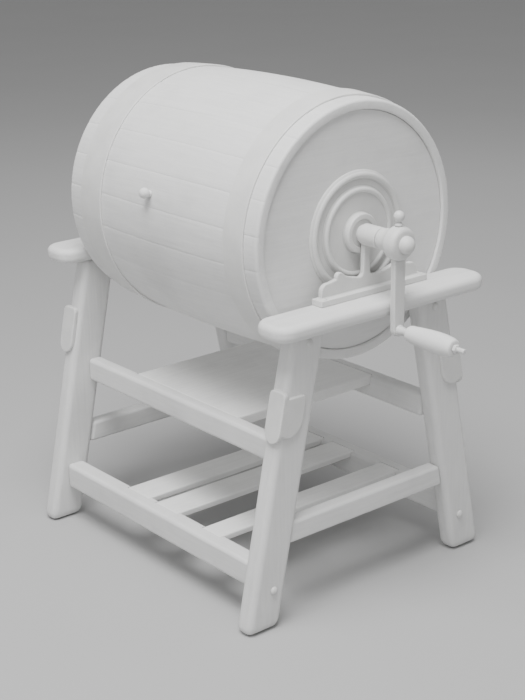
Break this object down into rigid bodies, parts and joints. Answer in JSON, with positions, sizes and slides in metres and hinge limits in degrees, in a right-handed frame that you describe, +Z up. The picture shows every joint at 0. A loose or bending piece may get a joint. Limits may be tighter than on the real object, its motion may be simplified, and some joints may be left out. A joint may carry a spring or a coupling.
{
  "type": "butter churn",
  "caption": "Barrel butter churn: a hooped stave barrel on axle stubs, cranked round end over end in a splayed wooden stand with a shelf and slatted tray.",
  "frame": {"origin": "floor level, under the middle of the whole churn's bounding box", "axes": "+Z up, -Y towards the crank and its grip along the barrel's axis, +X to the right seen from the crank's end"},
  "size_m": [0.6356, 0.976, 0.9865],
  "materials": {
    "stand_wood": "old pale grey paint over sawn wood, worn at the edges",
    "barrel_wood": "old pale grey paint over staves, matt",
    "head_wood": "old pale grey paint over a flat boarded head, matt",
    "hoop_iron": "pale grey painted band iron",
    "cast_iron": "pale grey painted casting, slightly rough",
    "plain_steel": "turned steel dulled by age",
    "fixings": "grey painted screw and bolt heads",
    "bronze": "turned bearing metal",
    "turned_wood": "turned hardwood with worn pale paint",
    "rubber": "pale soft rubber cord"
  },
  "bodies": {
    "stand": {"back_bearing_bracket": "cast_iron", "back_bush": "bronze", "back_slat": "stand_wood", "back_stretcher": "stand_wood", "back_top_rail": "stand_wood", "bracket_screw_back_left": "fixings", "bracket_screw_back_right": "fixings", "bracket_screw_front_left": "fixings", "bracket_screw_front_right": "fixings", "corner_plate_back_left": "cast_iron", "corner_plate_back_right": "cast_iron", "corner_plate_front_left": "cast_iron", "corner_plate_front_right": "cast_iron", "foot_bolt_back_left": "fixings", "foot_bolt_back_right": "fixings", "foot_bolt_front_left": "fixings", "foot_bolt_front_right": "fixings", "front_bearing_bracket": "cast_iron", "front_bush": "bronze", "front_slat": "stand_wood", "front_stretcher": "stand_wood", "front_top_rail": "stand_wood", "leg_back_left": "stand_wood", "leg_back_right": "stand_wood", "leg_front_left": "stand_wood", "leg_front_right": "stand_wood", "leg_top_screw_back_left": "fixings", "leg_top_screw_back_right": "fixings", "leg_top_screw_front_left": "fixings", "leg_top_screw_front_right": "fixings", "lower_side_rail_left": "stand_wood", "lower_side_rail_right": "stand_wood", "middle_slat": "stand_wood", "shelf_board": "stand_wood", "upper_side_rail_left": "stand_wood", "upper_side_rail_right": "stand_wood"},
    "barrel": {"back_clamp_nut": "plain_steel", "back_flange": "cast_iron", "back_head": "head_wood", "back_hoop": "hoop_iron", "back_shaft": "plain_steel", "back_shaft_collar": "cast_iron", "ball_nut": "cast_iron", "barrel_staves": "barrel_wood", "breaker_board_left": "head_wood", "breaker_board_right": "head_wood", "crank_arm": "cast_iron", "front_clamp_nut": "plain_steel", "front_flange": "cast_iron", "front_head": "head_wood", "front_hoop": "hoop_iron", "front_shaft": "plain_steel", "handle_nut": "plain_steel", "handle_pin": "plain_steel"},
    "grip": {"grip": "turned_wood"},
    "set_screw": {"set_screw": "plain_steel"},
    "vent_peg": {"vent_peg": "turned_wood"},
    "hatch_lid": {"hatch_lid": "barrel_wood", "hatch_handle": "hoop_iron", "hatch_seal": "rubber"}
  },
  "joints": [
    {"name": "barrel_turn", "type": "hinge", "parent": "stand", "child": "barrel", "pos_m": [0.01, 0.093, 0.724], "axis": [0, 1, 0], "continuous": true},
    {"name": "grip_spin", "type": "hinge", "parent": "barrel", "child": "grip", "pos_m": [0.01, -0.406, 0.557], "axis": [0, 1, 0], "continuous": true},
    {"name": "set_screw_turn", "type": "hinge", "parent": "barrel", "child": "set_screw", "pos_m": [0.01, -0.3165, 0.759], "axis": [0, 0, 1], "range_deg": [0, 180]},
    {"name": "vent_peg_pull", "type": "slide", "parent": "barrel", "child": "vent_peg", "axis": [-0.973, 0, 0.2309], "range_m": [0, 0.035]},
    {"name": "hatch_lid_pull", "type": "slide", "parent": "barrel", "child": "hatch_lid", "axis": [0, 0, -1], "range_m": [0, 0.07]}
  ]
}
